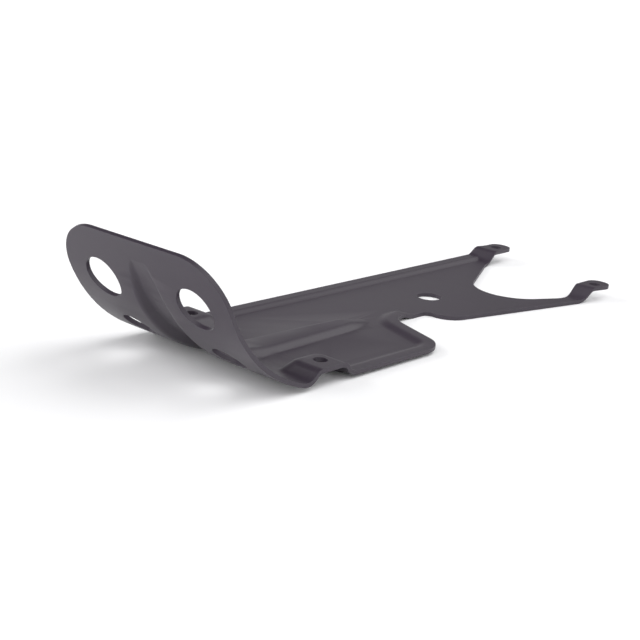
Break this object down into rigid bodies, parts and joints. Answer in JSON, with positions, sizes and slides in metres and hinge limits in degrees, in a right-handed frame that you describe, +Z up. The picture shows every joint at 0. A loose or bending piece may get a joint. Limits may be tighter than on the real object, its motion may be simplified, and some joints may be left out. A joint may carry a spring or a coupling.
{
  "type": "motorcycle skid plate",
  "caption": "Pressed sheet skid plate that bolts under a motorcycle engine, with an upswept nose, a centre rib, raised mounting pads and two rear arms on joggles.",
  "frame": {"origin": "middle of the plate in plan, on the plane of the floor's underside", "axes": "+X forward to the upswept nose, +Y to the left, the side with the notch, +Z up towards the engine"},
  "size_m": [0.4814, 0.147, 0.092],
  "materials": {
    "powder_coat": "satin charcoal powder coat"
  },
  "bodies": {
    "root": {"skid_plate": "powder_coat"}
  },
  "joints": []
}
